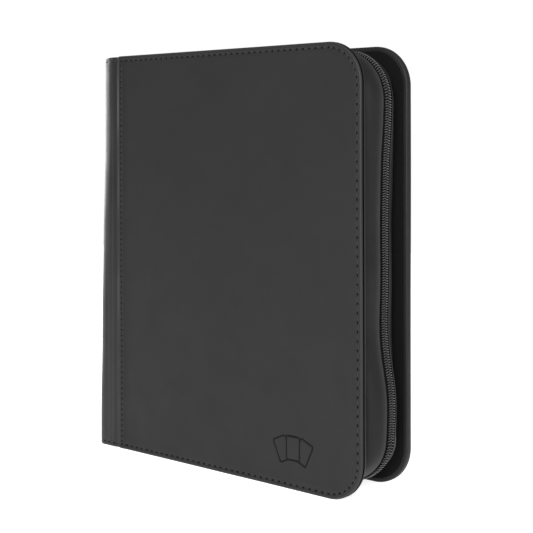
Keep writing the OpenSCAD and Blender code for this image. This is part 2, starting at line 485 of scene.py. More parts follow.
def cover_outline():
    """Fine columns round a cover's foot, fore edge and head, starting and ending at the seam:
    their points, directions outwards and places in the row of stitches."""
    foot = subdivide(np.linspace(GRID_X, CORNER_X, FOOT_CELLS + 1), COARSE)
    foot = np.concatenate([SEAM_X + SEAM_STEPS, foot])
    turn = subdivide(np.linspace(0.0, np.pi / 2, 2 * CORNER_CELLS + 1), COARSE)[1:-1]
    fore = subdivide(np.linspace(CORNER_R, HEIGHT - CORNER_R, FORE_CELLS + 1), COARSE)
    runs = [line(foot, 0.0, 0, -1), arc(CORNER_R, turn - np.pi / 2), line(FORE_X, fore, 1, 0),
            arc(HEIGHT - CORNER_R, turn), line(foot[::-1], HEIGHT, 0, 1)]
    at, out = (np.concatenate(parts) for parts in zip(*runs))
    step = np.hypot(*np.diff(at, axis=0).T)
    pitch = np.where(out[1:, 0] > 0.99, FORE_STITCH, STITCH)
    return at, out, np.concatenate([[0.0], np.cumsum(step / pitch)])


OUTLINE_AT, OUTLINE_OUT, OUTLINE_PHASE = cover_outline()

SPREAD, SHIFT = 0.009, 0.1  # at the foot: share of the width, and millimetres


def settle(p):
    """Makes the standing binder a little wider towards the foot."""
    lean = 1.0 - 2.0 * p[..., Z] / HEIGHT
    p[..., X] += lean * (SPREAD * p[..., X] + SHIFT)
    return p


def face_relief(x, z):
    """Soft waviness of a cover's face, outwards."""
    wave = 0.16 * np.sin(0.031 * x + 0.9) * np.sin(0.024 * z + 0.4)
    wave += 0.07 * np.sin(0.083 * x - 0.047 * z + 1.3)
    return wave + 0.75 * smooth((x - 10.0) / 95.0)


def seam_relief(e):
    """Height of the panel's folded edge, by distance from the seam."""
    fold = 0.42
    round_off = np.where(e < fold, fold - np.sqrt(np.maximum(fold ** 2 - (fold - e) ** 2, 0.0)), 0.0)
    raised = 0.34 * (1 - smooth((e - 2.6) / 3.6))
    return raised - 1.35 * round_off - 0.13 * hump(e, SEAM_ROW, 0.45)


def panel_point(x, z, depth):
    return settle(xyz(x, depth - HALF_T, z))


def card_outlines(x, z):
    """Pressed ornament: three fanned blank cards, drawn as lines. 1 is on a line."""
    pressed = np.zeros_like(x)
    for tilt, dx in ((24.0, -7.2), (-24.0, 7.2), (0.0, 0.0)):
        a = math.radians(tilt)
        px, pz = x - ORNAMENT_X - dx, z - ORNAMENT_Z + abs(dx) * 0.16
        u = px * math.cos(a) + pz * math.sin(a)
        v = -px * math.sin(a) + pz * math.cos(a)
        qx, qz = np.abs(u) - 3.6, np.abs(v) - 5.6
        gap = np.hypot(np.maximum(qx, 0), np.maximum(qz, 0)) + np.minimum(np.maximum(qx, qz), 0) - 0.9
        line = 1 - smooth((np.abs(gap) - 0.32) / 0.35)
        pressed = np.where(gap < 0.3, line, np.maximum(pressed, line))
    return pressed


ORNAMENT_X, ORNAMENT_Z = 55.0, 23.0
ORNAMENT_CELLS = (52, 68, 2, 14)  # coarse cells that hold it: first and last across, up
ORNAMENT_FINE = 6
ORNAMENT_DEPTH = 0.42


class PanelGrid:
    """The coarse middle of a cover panel, joined to its fine border without gaps."""

    def __init__(self, s, ring, strip, ornament):
        self.s = s
        self.index = np.full(GRID, -1)
        self.skip = np.zeros(GRID, bool)
        self.between = {}
        self.join_ring(ring)
        self.join(strip, [(0, j) for j in range(GRID[1])])
        if ornament:
            self.press_ornament()
        self.fill()

    @staticmethod
    def place(i, j):
        """Position of a grid point, with arcs round the two fore-edge corners."""
        a = np.clip((i - FOOT_CELLS) / CORNER_CELLS, 0, 1)
        low = np.clip((CORNER_CELLS - j) / CORNER_CELLS, 0, 1)
        high = np.clip((j - CORNER_CELLS - FORE_CELLS) / CORNER_CELLS, 0, 1)
        b = np.maximum(low, high)
        inner = CORNER_R - RING
        zj = CORNER_R + (HEIGHT - 2 * CORNER_R) * np.clip((j - CORNER_CELLS) / FORE_CELLS, 0, 1)
        across = GRID_X + (CORNER_X - GRID_X) * np.clip(i / FOOT_CELLS, 0, 1)
        r = inner * np.maximum(a, b)
        most = np.maximum(np.maximum(a, b), 1e-9)
        turn = np.where(a >= b, np.pi / 4 * b / most, np.pi / 2 - np.pi / 4 * a / most)
        x = np.where(a > 0, CORNER_X + r * np.cos(turn), across)
        up = np.where(a > 0, r * np.sin(turn), inner * b)
        return x, zj + np.where(high > 0, up, -up)

    def join(self, line, cells, parts=COARSE):
        """Takes the coarse vertices of a fine line, and remembers the ones between."""
        for k, cell in enumerate(cells):
            self.index[cell] = line[parts * k]
        for k in range(len(cells) - 1):
            a, *inner, b = line[parts * k:parts * (k + 1) + 1]
            self.between[a, b] = inner
            self.between[b, a] = inner[::-1]

    def join_ring(self, ring):
        last_i, last_j = GRID[0] - 1, GRID[1] - 1
        cells = [(i, 0) for i in range(last_i)]
        cells += [(last_i, j) for j in range(last_j)]
        cells += [(i, last_j) for i in range(last_i, -1, -1)]
        self.join(ring[len(SEAM_STEPS):-len(SEAM_STEPS)], cells)

    def press_ornament(self):
        i0, i1, j0, j1 = ORNAMENT_CELLS
        n = ORNAMENT_FINE
        i, j = np.meshgrid(np.linspace(i0, i1, n * (i1 - i0) + 1),
                           np.linspace(j0, j1, n * (j1 - j0) + 1), indexing="ij")
        x, z = self.place(i, j)
        pressed = ORNAMENT_DEPTH * card_outlines(x, z)
        made = self.s.add(panel_point(x, z, pressed - face_relief(x, z)), pit=pressed)
        self.s.quads(made)
        self.index[i0:i1 + 1, j0:j1 + 1] = made[::n, ::n]
        self.skip[i0:i1, j0:j1] = True
        for end, j in ((0, j0), (-1, j1)):
            self.join(made[:, end], [(i, j) for i in range(i0, i1 + 1)], n)
        for end, i in ((0, i0), (-1, i1)):
            self.join(made[end], [(i, j) for j in range(j0, j1 + 1)], n)

    def edge(self, a, b):
        """A cell's side, with the fine points on it but without its end."""
        return [a, *self.between.get((a, b), [])]

    def fill(self):
        free = np.argwhere(self.index < 0)
        x, z = self.place(*free.T.astype(float))
        self.index[tuple(free.T)] = self.s.add(panel_point(x, z, -face_relief(x, z)))
        for i, j in np.argwhere(~self.skip[:-1, :-1]):
            a, b = self.index[i, j], self.index[i + 1, j]
            c, d = self.index[i + 1, j + 1], self.index[i, j + 1]
            self.s.face(self.edge(a, b) + self.edge(b, c) + self.edge(c, d) + self.edge(d, a))


def border_depth(d, depth, x, z, pit):
    """Depth of a border row below the flat face, with the stitch row's groove and holes."""
    outer = depth < EDGE_R
    carry = np.clip(1 - depth / COVER_T, 0, 1)
    groove = 0.1 * hump(d, STITCH_IN, 0.7) - 0.1 * hump(d, 1.7, 0.6)
    hole = PIT_DEPTH * pit * hump(d, STITCH_IN, PIT_REACH)
    puff = -0.06 * smooth((d - 3.5) / 3.0) * (1 - smooth((d - 5.5) / 2.5))
    shape = np.where(outer, groove + hole + puff, 0.0)
    return depth + shape - face_relief(x, z) * carry


def cover_border(s, crease):
    """Border of a cover, from its flat face over the rolled edge to the hem inside."""
    d, depth = np.split(border_profile(crease), 2, axis=1)
    x, z = (OUTLINE_AT[:, k] - d * OUTLINE_OUT[:, k] for k in (0, 1))
    e = x - SEAM_X
    pit = pits(OUTLINE_PHASE) * (e > 1.0)
    seam_pit = pits(z / SEAM_STITCH) * hump(e, SEAM_ROW, PIT_REACH) * (d > 4.0)
    q = border_depth(d, depth, x, z, pit) - seam_relief(e) * np.clip(1 - depth / 1.6, 0, 1)
    q = q + SEAM_PIT_DEPTH * seam_pit
    # Painted shade: black in the stitch holes and along the crease round the edge.
    painted_shade = pit * hump(d, STITCH_IN, PIT_REACH) * (depth < EDGE_R) + seam_pit
    painted_shade = painted_shade + (d > 0.05) * (depth > 1.0) * (depth < 2.1)
    # Painted highlight along the rounded outer edge and along the seam's folded edge.
    rim = hump(d, 0.5, 0.55) * (depth < 1.2) + seam_highlight(e) * (d > 1.0) * (depth < 0.1)
    ring = s.add(panel_point(x, z, q), pit=painted_shade, rim=np.clip(rim, 0, 1))
    s.quads(ring)
    return ring


def seam_highlight(e):
    """Painted highlight on the folded edge, by distance from the seam."""
    return hump(e, 0.35, 0.4)


def seam_strip(s, row):
    """Fine columns beside the seam, from the foot end to the head end of the border's row."""
    columns = len(SEAM_STEPS) + 1
    z = PanelGrid.place(np.zeros(1), np.arange(float(GRID[1])))[1]
    x, z = np.meshgrid(np.append(SEAM_X + SEAM_STEPS, GRID_X), subdivide(z, COARSE)[1:-1],
                       indexing="ij")
    e = x - SEAM_X
    pit = pits(z / SEAM_STITCH) * hump(e, SEAM_ROW, PIT_REACH)
    depth = SEAM_PIT_DEPTH * pit - seam_relief(e) - face_relief(x, z)
    # Painted shade in the stitch holes and painted highlight on the folded edge.
    middle = s.add(panel_point(x, z, depth), pit=pit, rim=seam_highlight(e))
    strip = np.concatenate([row[:columns, None], middle, row[::-1][:columns, None]], 1)
    s.quads(strip)
    return strip


def cover_panel(side):
    """Board wrapped in leather: face, rolled edge, turned hem and a folded edge at the seam."""
    s = Surface()
    ring = cover_border(s, FORE_CREASE[side])
    strip = seam_strip(s, ring[0])
    PanelGrid(s, ring[0], strip[-1], ornament=side == FRONT)
    s.face(ring[-1])
    s.face(np.concatenate([strip[0, 1:], ring[1:, -1], ring[::-1, 0]]))
    on_cover(s, side, "panel", COVER, ["leather", "board"], "cover_leather")


THREAD_SINK = 0.3     # depth of the threads in the border row's groove
THREAD_DIVE = 1.1     # how far a thread goes down in a hole
SEAM_END = 4.0        # where the seam's thread stops short of the head and foot


def row_thread(s, at, out, phase, inset, sink):
    """One stitched thread along a cover's border; it dives at every hole."""
    x, z = (at - inset * out).T
    depth = sink + THREAD_DIVE * pits(phase) - face_relief(x, z)
    tube(s, panel_point(x, z, depth), xyz(out[:, 0], 0.0, out[:, 1]), [0.0, -1.0, 0.0], THREAD_R)


def cover_stitches(side):
    """Threads round a cover's edge and along its seam."""
    s = Surface()
    at, out, phase = (part[5:-5] for part in (OUTLINE_AT, OUTLINE_OUT, OUTLINE_PHASE))
    row_thread(s, at, out, phase, STITCH_IN, THREAD_SINK)
    z = np.arange(SEAM_END, HEIGHT - SEAM_END, SEAM_STITCH / FINE)
    at, out = line(SEAM_X + SEAM_ROW, z, 1, 0)
    row_thread(s, at, out, z / SEAM_STITCH, 0.0, 0.0)
    on_cover(s, side, "panel_stitches", THREAD, [], "cover_leather")


# ---- spine wrap ----

WRAP_TUCK = 1.0       # how far the spine leather runs under the cover panel
WRAP_CELLS = (20, 18, 22)  # mesh cells on the spine face, round its edge and on the cover
WRAP_FOOT, WRAP_HEAD = 0.1, HEIGHT - 0.35
WRAP_IN = 2.6         # stitch row's distance from both of those ends


def spine_radius(z):
    """The soft spine edge is rounder towards the head."""
    return 6.5 + 8.0 * smooth(z / HEIGHT)


def wrap_columns(z):
    """x and y of the outer face and x and y of its normal, for every column and height."""
    r = spine_radius(z)
    t1, t2, t3 = (np.linspace(0, 1, cells + 1)[:, None] for cells in WRAP_CELLS)
    turn = np.pi * (1.0 + 0.5 * t2[:-1])
    nx, ny = np.cos(turn), np.sin(turn)
    spine = (SPINE_X, -t1[:-1] * (HALF_T - r), -1.0, 0.0)
    edge = (SPINE_X + r + r * nx, -HALF_T + r + r * ny, nx, ny)
    cover = (SPINE_X + r + t3 * (SEAM_X + WRAP_TUCK - SPINE_X - r), -HALF_T, 0.0, -1.0)
    return np.concatenate([np.broadcast_arrays(*part) for part in (spine, edge, cover)], 1)


def wrap_relief(x, y, z):
    """Outward relief: gutter beside the seam, hinge creases and slow waves."""
    at_front = hump(y, -HALF_T, 2.0)
    gutter = 0.42 * hump(x, SEAM_X - 2.2, 1.6) + 0.5 * smooth((x - SEAM_X + 0.4) / 0.5)
    crease = 0.12 * hump(x, SEAM_X - 6.5 + 0.004 * z, 0.8) + 0.1 * hump(x, SEAM_X - 9.5, 0.9)
    wave = 0.14 * np.sin(0.045 * z + 0.22 * y + 0.5) + 0.08 * np.sin(0.11 * z - 0.3 * x)
    slack = 0.35 * hump(y, 0.0, 9.0) * (np.sin(np.pi * z / HEIGHT) - 0.6)
    return wave * smooth((SEAM_X - x) / 4.0) - at_front * (gutter + crease) + slack


def wrap_lean(x):
    """The padded spine stands out a little."""
    return -1.6 * smooth((SEAM_X - x) / 14.0)


def wrap_dip(x, z):
    """The head of the spine leather is rolled down a little, away from the seam."""
    return 0.9 * smooth((SEAM_X - 6.0 - x) / 12.0) * smooth((z - HEIGHT + 9.0) / 9.0)


def wrap_thickness(x, y):
    """Board and leather on the spine and the cover, leather alone round the hinge."""
    on_spine = smooth((y + 15.5) / 2.5)
    on_cover = smooth((x - HINGE_X + 1.0) / 2.5)
    return 0.9 + (COVER_T - 1.1) * np.maximum(on_spine, on_cover)


def wrap_loop():
    """Rows round the wrap's upright section: share of the height, offset in Z, how far the row
    is sunk at a rounded end, and its share of the way to the inner face."""
    near = [0.9, 1.2, 1.5, 1.8, 2.05, 2.25, 2.43, WRAP_IN, 2.77, 2.95, 3.2, 3.5, 4.0, 4.8, 6.0]
    edge = [(1 - math.sin(a), 1 - math.cos(a)) for a in np.radians([90, 67, 45, 22])]
    foot = [(0, 0.8 * e, 0.8 * q, 0) for e, q in edge] + [(0, d, 0, 0) for d in near]
    rise = [(f, 0, 0, 0) for f in np.linspace(0.045, 0.955, 46)]
    head = [(1, -d, q, k) for _, d, q, k in foot[::-1]]
    inner = [(1, 0, 0, 0.75), (1, -0.3, 0, 1), (1, -2.5, 0, 1)]
    inner += [(f, 0, 0, 1) for f in np.linspace(0.9, 0.1, 17)]
    inner += [(0, 2.5, 0, 1), (0, 0.3, 0, 1), (0, 0, 0, 0.75)]
    return np.array(foot + rise + head + inner)


def spine_wrap(side):
    """Leather round the spine, lapped under a cover's folded edge, and its turned hems."""
    s = Surface()
    share, offset, sunk, inside = wrap_loop().T
    z = WRAP_FOOT + share * (WRAP_HEAD - WRAP_FOOT) + offset
    x, y, nx, ny = wrap_columns(z)
    thick = wrap_thickness(x, y)
    off = np.minimum(z - WRAP_FOOT, WRAP_HEAD - z)
    # Painted shade in the stitch holes.
    pit = pits(np.arange(len(x)) / FINE)[:, None] * hump(off, WRAP_IN, 0.46) * (inside == 0)
    pit = pit * (x < SEAM_X - 1.2)
    depth = np.minimum(sunk, thick * 0.45) + inside * thick
    depth = depth + PIT_DEPTH * pit + 0.12 * hump(off, WRAP_IN, 0.5) * (inside == 0)
    out = wrap_relief(x, y, z) * (1 - inside) - depth
    points = xyz(x + nx * out + wrap_lean(x), y + ny * out, z - wrap_dip(x, z))
    # Painted highlight along the head and foot ends and down the spine's outer edge.
    rim = hump(off, 0.4, 0.5) + 0.5 * hump(x, SPINE_X + 1.5, 1.6)
    made = s.add(settle(points), pit=pit, rim=np.clip(rim, 0, 1) * (inside == 0))
    s.loft(made[::-1])
    nodes = [f"{SIDES[side]}_hinge_leather", "spine_leather", "spine_board"]
    on_hinge(s, side, "spine_wrap", SPINE, nodes)


def wrap_stitches(side):
    """Threads along the head and foot of the spine leather."""
    s = Surface()
    for z0 in (WRAP_FOOT + WRAP_IN, WRAP_HEAD - WRAP_IN):
        x, y, nx, ny = (column[:-8, 0] for column in wrap_columns(np.array([z0])))
        out = wrap_relief(x, y, z0) - THREAD_R - pits(np.arange(len(x)) / FINE)
        path = xyz(x + nx * out + wrap_lean(x), y + ny * out, z0 - wrap_dip(x, z0))
        tube(s, settle(path), [0.0, 0.0, 1.0], xyz(nx, ny, 0.0), THREAD_R)
    on_hinge(s, side, "spine_stitches", THREAD, [])


# ---- linings ----

LINING_LAP = 0.15


def rounded_rect(x0, x1, z0, z1, radii, steps=8):
    """A function that gives the outline, from the lower left corner round, at a distance in.
    It has one radius, or four."""
    corners = ((x0, z0, 1, 1, 180), (x1, z0, -1, 1, 270), (x1, z1, -1, -1, 0), (x0, z1, 1, -1, 90))

    def inset(d):
        points = []
        for (x, z, ix, iz, start), r in zip(corners, np.broadcast_to(radii, 4)):
            turn = np.radians(start + np.linspace(0, 90, steps + 1))
            left = max(r - d, 0.1 * r)
            middle = np.array([x + ix * (d + left), z + iz * (d + left)])
            points.append(middle + left * np.stack([np.cos(turn), np.sin(turn)], 1))
        return np.concatenate(points)
    return inset


def disc(x, z, r, steps=24):
    """A round outline, as a function of the distance in."""
    turn = np.arange(steps) * 2 * np.pi / steps
    unit = np.stack([np.cos(turn), np.sin(turn)], 1)
    return lambda d: np.array([x, z]) + (r - d) * unit


def plate(s, outline, rows, place):
    """Rings of (distance in, height) round an outline, closed by flat faces at both ends."""
    s.loft(s.add(np.stack([place(outline(d), h) for d, h in rows])))


def along(axis, base=0.0, sign=1.0):
    """A function that places an outline at a height along one axis, counted from the base."""
    return lambda p, h: np.insert(p, axis, base + sign * h, axis=1)


def below_face(p, depth):
    """Places an outline drawn in X and Z at a depth below the front face."""
    return panel_point(p[:, 0], p[:, 1], depth)


def cover_lining(side):
    """Cloth stuck inside a cover, just over the edge of its hem."""
    s = Surface()
    inset = HEM_W - LINING_LAP
    r = CORNER_R - inset
    outline = rounded_rect(HINGE_X, FORE_X - inset, inset, HEIGHT - inset, (0.6, r, r, 0.6), 14)
    top = COVER_T - 0.05
    rows = [(0.0, COVER_T - 0.6), (0.0, top - 0.3), (0.1, top - 0.08), (0.35, top),
            (2.5, top + 0.05), (9.0, top + 0.05)]
    plate(s, outline, rows, below_face)
    on_cover(s, side, "cover_lining", LINING, ["lining"], "lining")


def hinge_lining(side):
    """Lining that crosses from the cover to the spine, with slack for opening."""
    s = Surface()
    r = SPINE_R - COVER_T
    turn = np.radians(np.linspace(270, 180, 13))
    cx, cy = HINGE_X, -HALF_T + SPINE_R
    lead = [(cx + 3.0, cy - r - 0.15), (cx + 1.5, cy - r - 0.1)]
    tail = [(cx - r - 0.1, cy + 1.5), (cx - r - 0.15, cy + 3.0)]
    path = np.array(lead + [(cx + r * math.cos(a), cy + r * math.sin(a)) for a in turn] + tail)
    ahead = np.gradient(path, axis=0)
    ahead /= np.linalg.norm(ahead, axis=1)[:, None]
    inward = np.stack([ahead[:, 1], -ahead[:, 0]], 1)
    foot, head = HEM_W, HEIGHT - HEM_W
    z = np.concatenate([[foot], np.linspace(foot + 0.5, head - 0.5, 30), [head]])
    ripple = 0.1 * np.sin(0.2 * z) * hump(np.arange(len(path)), 8, 3)[:, None]
    layers = []
    for offset in (-0.1, 0.5):
        x, y = (path[:, [k]] + (offset + ripple) * inward[:, [k]] for k in (0, 1))
        layers.append(xyz(x, y, z))
    s.loft(s.add(np.concatenate([layers[0], layers[1][:, ::-1]], 1)))
    on_hinge(s, side, "hinge_lining", LINING, [])


def spine_lining():
    s = Surface()
    half = HALF_T - SPINE_R
    outline = rounded_rect(-half, half, HEM_W, HEIGHT - HEM_W, 0.6, 4)
    rows = [(0.0, -0.6), (0.0, -0.3), (0.12, -0.05), (0.4, 0.0)]
    plate(s, outline, rows, along(X, SPINE_X + COVER_T))
    on_body(s, "spine_inner_lining", [LINING], "spine", "spine_lining")


# ---- gusset and zip ----

HEAD_RUN = ZIP_X - GUSSET_X
CORNER_RUN = ZIP_R * math.pi / 2
RUNS = (HEAD_RUN, CORNER_RUN, ZIP_TOP - ZIP_FOOT, CORNER_RUN, HEAD_RUN)  # head to foot
STARTS = np.cumsum((0.0,) + RUNS[:-1])
ZIP_RUN = sum(RUNS)
GUSSET_STEPS, TAPE_STEPS = 420, 380
TAPE_END = 2.0        # how far the tape stops short of each end of the zip line
COIL_PITCH = 1.35
COIL_START = COIL_X - GUSSET_X  # from each end of the zip line
LOOP_Y, LOOP_REACH, LOOP_RISE = -1.08, 1.3, 0.66  # a loop's middle and half sizes
FILAMENT_R = 0.28
CORD_Y, CORD_R = -1.5, 0.42  # filler cord inside the loops
DRAWN_HALF = np.array([1.0, -1.0])  # turns a profile's y to the front half


def zip_frame(s):
    """Base point and outward direction, both at y = 0, at a distance along the zip line."""
    runs = (np.clip(s - start, 0.0, length) for start, length in zip(STARTS, RUNS))
    head, corner, fore, next_corner, foot = runs
    turn = np.pi / 2 - (corner + next_corner) / ZIP_R
    return xyz(GUSSET_X + head - foot, 0.0, ZIP_TOP - fore), xyz(np.cos(turn), 0.0, np.sin(turn))


# Middle, half length and squareness of each push or stretch along the soft zip.
HEAD_PUSH = (190.0, 38.0, 4)
FORE_PUSH = (272.0, 48.0, 4)
FOOT_PUSH = (374.0, 32.0, 2.6)
SWAY = (285.0, 90.0, 3)
BROAD = ((183.0, 13.0, 6), (403.0, 24.0, 4), (280.0, 60.0, 4))
STRAIGHT = 162.0      # the head run is held straight up to here


def zip_bulge(s):
    """How far the soft zip stands out from its line: most at both corners."""
    loose = smooth((s - STRAIGHT) / 12.0)
    ends = np.minimum(s, ZIP_RUN - s)
    push = 2.6 * hump(s, *HEAD_PUSH) * loose + 0.3 * hump(s, *FORE_PUSH) + 5.8 * hump(s, *FOOT_PUSH)
    ripple = 0.18 * np.sin(s / 9.0) * loose * smooth(ends / 60.0)
    return push + ripple - 5.0 * (1 - smooth(ends / 9.0))


def zip_sway(s, side):
    """Sideways sway of the soft zip along the fore edge, in the drawn half's own direction."""
    return -side * 1.2 * hump(s, *SWAY)


def zip_point(s, rho, y):
    """A point at a distance along the zip line, a distance out from it, and y."""
    base, out = zip_frame(s)
    return base + out * rho[..., None] + xyz(0.0, y, 0.0)


def broad_bulge(s):
    """Where the whole strip is pushed out with the zip, and not the edge by the zip alone."""
    return np.clip(sum(hump(s, *push) for push in BROAD), 0, 1)


def zip_sweep(s, side, distance, profile, relief=None, broad=1.0):
    """Sweeps a closed profile of (distance out, y) along the zip line. Where broad is 1, the
    zip's bulge carries the whole strip out, and where it is 0, only the edge by the zip."""
    run, rho = np.meshgrid(distance, profile[:, 0], indexing="ij")
    y = np.broadcast_to(profile[:, 1], run.shape)
    away = np.abs(y)
    whole = smooth((HALF_T - COVER_T - away) / 10.0)  # fades out at the cover
    near = smooth((12.5 - away) / 8.0)  # fades out half way
    out = rho + zip_bulge(run) * (near + (whole - near) * broad)
    if relief:
        out = out + relief(run, y) * whole
    across = y + zip_sway(run, side) * smooth((14.0 - away) / 8.0)
    # Painted highlight along the folded edge by the zip; painted shade over the strip beyond the
    # fold, and full painted shade on the part tucked inside the fold.
    index = s.add(zip_point(run, out, across), rim=hump(away, 4.5, 0.5),
                  pit=0.21 * smooth((away - 5.4) / 1.8) + (away < 3.95))
    s.loft(index[::-1])


GUSSET_T = 0.75
FOLD = (24.9, 4.3)    # the gusset's edge by the zip: distance out, y
FOOTING = (17.2, 18.3)  # where it leaves the lining


def gusset_profile(crown):
    """Closed section: flange, strip with the given crown, folded edge and back down inside."""
    t = np.linspace(0.0, 1.0, 13)
    run = np.array([FOLD[0] - FOOTING[0], FOLD[1] - FOOTING[1]])
    normal = np.array([-run[1], run[0]]) / np.hypot(*run)
    strip = np.array(FOOTING) + t[:, None] * run + crown * np.sin(np.pi * t)[:, None] * normal
    back = strip[::-1][1:] - GUSSET_T * normal
    flange = [(13.5, 18.95), (15.4, 18.92), (16.5, 18.75)]
    fold = [(25.0, 4.1), (24.92, 3.9), (24.65, 3.8), (24.35, 3.85), (24.15, 4.1)]
    tail = [(15.6, 18.2), (13.5, 18.25)]
    return np.concatenate([flange, strip, fold, back, tail]) * DRAWN_HALF


def gusset_relief(run, y):
    """Soft lengthwise creases and waves in the gusset leather."""
    crease = -0.28 * hump(y, -13.6 + 0.9 * np.sin(run / 31.0), 1.1)
    crease = crease + 0.2 * hump(y, -10.2 + 0.8 * np.sin(run / 23.0 + 1.0), 1.8)
    wave = 0.22 * np.sin(run / 14.0 + 0.25 * y) * hump(y, -11.0, 6.0)
    return crease + wave


GUSSET_CROWN = {FRONT: 0.8, BACK: 1.3}


def gusset(side):
    """Leather strip from a cover's lining to the zip."""
    s = Surface()
    distance = ZIP_RUN / GUSSET_STEPS * np.arange(GUSSET_STEPS + 1)
    broad = broad_bulge(distance)[:, None] if side == BACK else 1.0
    zip_sweep(s, side, distance, gusset_profile(GUSSET_CROWN[side]), gusset_relief, broad)
    on_cover(s, side, "gusset_strip", GUSSET, ["gusset"], "gusset_leather", sharp=70.0)


def coil_height(run):
    """Distance of the coil's centre line out from the zip's base line."""
    return TAPE_R + 1.2 - 0.5 * hump(run, 178.0, 26.0) + zip_bulge(run)


def zip_tape(side):
    """Woven tape along the gusset's edge, with the filler cord that the coil is wound on."""
    s = Surface()
    distance = np.linspace(TAPE_END, ZIP_RUN - TAPE_END, TAPE_STEPS + 1)
    profile = np.array([(24.15, 0.9), (24.2, 2.5), (24.2, 4.2), (23.85, 5.6), (23.2, 7.4),
                        (22.8, 7.2), (23.4, 5.4), (23.75, 4.1), (23.75, 2.5), (23.75, 0.9)])
    zip_sweep(s, side, distance, profile * DRAWN_HALF)
    run = distance[(distance > COIL_START) & (distance < ZIP_RUN - COIL_START)]
    path = zip_point(run, coil_height(run), CORD_Y + zip_sway(run, side))
    tube(s, path, [0.0, 1.0, 0.0], zip_frame(run)[1], CORD_R)
    on_cover(s, side, "tape", TAPE, ["zip_tape"], "zip_tape", sharp=60.0)


def zip_coil(side):
    """One half of the coil: a flattened filament helix whose loops mesh with the other half."""
    s = Surface()
    per_loop = 10
    loops = int((ZIP_RUN - 2 * COIL_START) / COIL_PITCH)
    turn = np.arange(loops * per_loop) * 2 * np.pi / per_loop
    shift = 0.0 if side == FRONT else COIL_PITCH / 2
    run = COIL_START + shift + turn / (2 * np.pi) * COIL_PITCH
    rho = coil_height(run) + LOOP_RISE * np.sin(turn)
    path = zip_point(run, rho, LOOP_Y + LOOP_REACH * np.cos(turn) + zip_sway(run, side))
    out_x, _, out_z = zip_frame(run)[1].T
    up_dir = xyz(np.sin(turn) * out_x, np.cos(turn), np.sin(turn) * out_z)
    # Painted shade on the part of each loop that turns in towards the tape and on the part that
    # reaches in among the other half's loops.
    low = np.maximum(smooth(0.4 - 0.9 * np.sin(turn)), smooth((np.cos(turn) - 0.55) / 0.4))
    tube(s, path, xyz(out_z, 0.0, -out_x), up_dir, FILAMENT_R, sides=5, pit=low)
    on_cover(s, side, "coil", COIL[side], ["zip_coil"], "zip_coil", sharp=80.0)


def zip_stops(side):
    """Crimped metal stops at both ends of the coil."""
    s = Surface()
    outline = rounded_rect(COIL_X - 2.4, COIL_X - 0.2, -3.2, -0.35, 0.5, 4)
    rows = [(0.0, -0.4), (0.0, 1.3), (0.12, 1.65), (0.45, 1.85), (0.9, 1.9)]
    for base, up in ((ZIP_TOP + TAPE_R, 1.0), (ZIP_FOOT - TAPE_R, -1.0)):
        plate(s, outline, rows, along(Z, base, up))
    on_cover(s, side, "stops", STOP, ["zip_stops"], "zip_stop")


# ---- pocket leaves ----

POCKET_W, POCKET_H = 70.0, 97.0
WELD, MARGIN = 3.0, 14.0  # between pockets, and between them and the spine
SHEET_T = 0.4
FILM_SKIN, FILM_LIFT = 0.08, 0.17
FILM_SLOT = 1         # the film is the leaf's second material
EASE = np.array([0.0, 0.3, 0.55, 0.9, 1.6, 2.8, 4.8, 9.0, 20.0])  # steps in from a weld


def pocket_film(s, px, pz, y, sign):
    """Thin film welded down on three sides and lifted at the inner one, where the card goes in."""
    x = POCKET_W - np.append(EASE, [35.0, 50.0, 62.0, POCKET_W])[::-1]
    z = np.concatenate([EASE, [POCKET_H / 2], POCKET_H - EASE[::-1]])
    x, z = np.meshgrid(x, z, indexing="ij")
    depth = np.minimum(POCKET_W - x, np.minimum(z, POCKET_H - z))
    lift = SHEET_T / 2 + FILM_LIFT * smooth((depth - 0.9) / 8.0)
    lift = lift + 0.05 * hump(depth, 0.45, 0.25) - 0.03 * (depth < 0.2)
    low = s.add(xyz(px + x, y + sign * lift, pz + z))
    top = s.add(xyz(px + x, y + sign * (lift + FILM_SKIN), pz + z))
    s.quads(top, FILM_SLOT)
    s.quads(low, FILM_SLOT)
    for edge in ((0, ...), (-1, ...), (..., 0), (..., -1)):
        s.quads(np.stack([top[edge], low[edge]]), FILM_SLOT)


def leaf_y(number):
    """Where the middle of a leaf's sheet is."""
    return box(f"leaf_{number:02d}")[:, Y].mean()


def pocket_leaf(number):
    """A black sheet with two by two clear pockets welded to each side; they open inwards."""
    node = f"leaf_{number:02d}"
    (x0, _, z0), (x1, _, z1) = box(node)
    x0 += SHEET_T / 2
    y = leaf_y(number)
    s = Surface()
    outline = rounded_rect(x0, x1, z0, z1, (0.2, 2.5, 2.5, 0.2), 4)
    rows = [(0.1, -0.5), (0.0, -0.25), (0.0, 0.25), (0.1, 0.5)]
    plate(s, outline, [(d, share * SHEET_T) for d, share in rows], along(Y, y, -1.0))
    for sign, column, row in itertools.product((-1, 1), (0, 1), (0, 1)):
        pocket_film(s, x0 + MARGIN + column * (POCKET_W + WELD),
                    z0 + WELD + row * (POCKET_H + WELD), y, sign)
    on_body(s, f"{node}_pockets", [SHEET, FILM], f"{node}_body", node)


# ---- binding strip ----

LEAF_COUNT = 20


